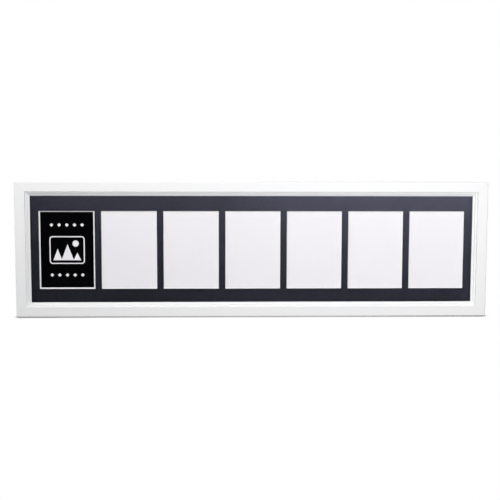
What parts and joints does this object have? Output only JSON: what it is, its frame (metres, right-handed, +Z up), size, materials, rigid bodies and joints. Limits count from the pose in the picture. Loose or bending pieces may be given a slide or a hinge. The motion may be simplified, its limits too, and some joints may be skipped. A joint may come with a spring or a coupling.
{
  "type": "collage photo frame",
  "caption": "Long white mitred photo frame with a glazed black mat, a row of bevelled windows for upright prints, a turn-button back and D-ring hangers.",
  "frame": {"origin": "on the underside of the bottom rail, in the middle of its length and of the moulding's depth", "axes": "+X along the frame to the right as seen from the front, +Y towards the wall, +Z up"},
  "size_m": [1.052, 0.0275, 0.302],
  "materials": {
    "white_lacquer": "white satin lacquer on wood",
    "bright_steel": "bare rolled steel",
    "clear_glass": "clear float glass",
    "black_mat_paper": "black facing paper, fine tooth",
    "white_mat_core": "white mat board core",
    "printed_insert": "black print on coated paper",
    "white_insert": "plain white paper",
    "filler_card": "white faced card",
    "hardboard": "brown hardboard",
    "zinc_steel": "zinc plated steel",
    "nickel_steel": "nickel plated steel",
    "bumper_rubber": "black moulded rubber"
  },
  "bodies": {
    "frame": {"rail_top": "white_lacquer", "rail_bottom": "white_lacquer", "rail_left": "white_lacquer", "rail_right": "white_lacquer", "corner_v_nails": "bright_steel", "glazing_sheet": "clear_glass", "mat_face": "black_mat_paper", "mat_core": "white_mat_core", "sample_insert": "printed_insert", "filler_board": "filler_card", "backing_board": "hardboard", "turn_button_screws": "zinc_steel", "hanger_screws": "zinc_steel", "wall_bumpers": "bumper_rubber", "blank_insert_2": "white_insert", "blank_insert_3": "white_insert", "blank_insert_4": "white_insert", "blank_insert_5": "white_insert", "blank_insert_6": "white_insert", "blank_insert_7": "white_insert", "hanger_strap_left": "nickel_steel", "hanger_strap_right": "nickel_steel", "hanger_strap_top": "nickel_steel", "hanger_strap_bottom": "nickel_steel"},
    "turn_button_top_1": {"turn_button_top_1": "zinc_steel"},
    "turn_button_top_2": {"turn_button_top_2": "zinc_steel"},
    "turn_button_top_3": {"turn_button_top_3": "zinc_steel"},
    "turn_button_top_4": {"turn_button_top_4": "zinc_steel"},
    "turn_button_bottom_1": {"turn_button_bottom_1": "zinc_steel"},
    "turn_button_bottom_2": {"turn_button_bottom_2": "zinc_steel"},
    "turn_button_bottom_3": {"turn_button_bottom_3": "zinc_steel"},
    "turn_button_bottom_4": {"turn_button_bottom_4": "zinc_steel"},
    "turn_button_left": {"turn_button_left": "zinc_steel"},
    "turn_button_right": {"turn_button_right": "zinc_steel"},
    "hanger_ring_left": {"hanger_ring_left": "nickel_steel"},
    "hanger_ring_right": {"hanger_ring_right": "nickel_steel"},
    "hanger_ring_top": {"hanger_ring_top": "nickel_steel"},
    "hanger_ring_bottom": {"hanger_ring_bottom": "nickel_steel"}
  },
  "joints": [
    {"name": "turn_button_top_1_turn", "type": "hinge", "parent": "frame", "child": "turn_button_top_1", "pos_m": [-0.375, 0.01125, 0.285], "axis": [0, 1, 0], "continuous": true},
    {"name": "turn_button_top_2_turn", "type": "hinge", "parent": "frame", "child": "turn_button_top_2", "pos_m": [-0.125, 0.01125, 0.285], "axis": [0, 1, 0], "continuous": true},
    {"name": "turn_button_top_3_turn", "type": "hinge", "parent": "frame", "child": "turn_button_top_3", "pos_m": [0.125, 0.01125, 0.285], "axis": [0, 1, 0], "continuous": true},
    {"name": "turn_button_top_4_turn", "type": "hinge", "parent": "frame", "child": "turn_button_top_4", "pos_m": [0.375, 0.01125, 0.285], "axis": [0, 1, 0], "continuous": true},
    {"name": "turn_button_bottom_1_turn", "type": "hinge", "parent": "frame", "child": "turn_button_bottom_1", "pos_m": [-0.375, 0.01125, 0.017], "axis": [0, 1, 0], "continuous": true},
    {"name": "turn_button_bottom_2_turn", "type": "hinge", "parent": "frame", "child": "turn_button_bottom_2", "pos_m": [-0.125, 0.01125, 0.017], "axis": [0, 1, 0], "continuous": true},
    {"name": "turn_button_bottom_3_turn", "type": "hinge", "parent": "frame", "child": "turn_button_bottom_3", "pos_m": [0.125, 0.01125, 0.017], "axis": [0, 1, 0], "continuous": true},
    {"name": "turn_button_bottom_4_turn", "type": "hinge", "parent": "frame", "child": "turn_button_bottom_4", "pos_m": [0.375, 0.01125, 0.017], "axis": [0, 1, 0], "continuous": true},
    {"name": "turn_button_left_turn", "type": "hinge", "parent": "frame", "child": "turn_button_left", "pos_m": [-0.509, 0.01125, 0.151], "axis": [0, 1, 0], "continuous": true},
    {"name": "turn_button_right_turn", "type": "hinge", "parent": "frame", "child": "turn_button_right", "pos_m": [0.509, 0.01125, 0.151], "axis": [0, 1, 0], "continuous": true},
    {"name": "hanger_ring_left_swing", "type": "hinge", "parent": "frame", "child": "hanger_ring_left", "pos_m": [-0.514, 0.01338, 0.227], "axis": [1, 0, 0], "range_deg": [0, 174]},
    {"name": "hanger_ring_right_swing", "type": "hinge", "parent": "frame", "child": "hanger_ring_right", "pos_m": [0.514, 0.01338, 0.227], "axis": [1, 0, 0], "range_deg": [0, 174]},
    {"name": "hanger_ring_top_swing", "type": "hinge", "parent": "frame", "child": "hanger_ring_top", "pos_m": [-0.326, 0.01338, 0.29], "axis": [0, 0, 1], "range_deg": [0, 174]},
    {"name": "hanger_ring_bottom_swing", "type": "hinge", "parent": "frame", "child": "hanger_ring_bottom", "pos_m": [-0.326, 0.01338, 0.012], "axis": [0, 0, 1], "range_deg": [0, 174]}
  ]
}
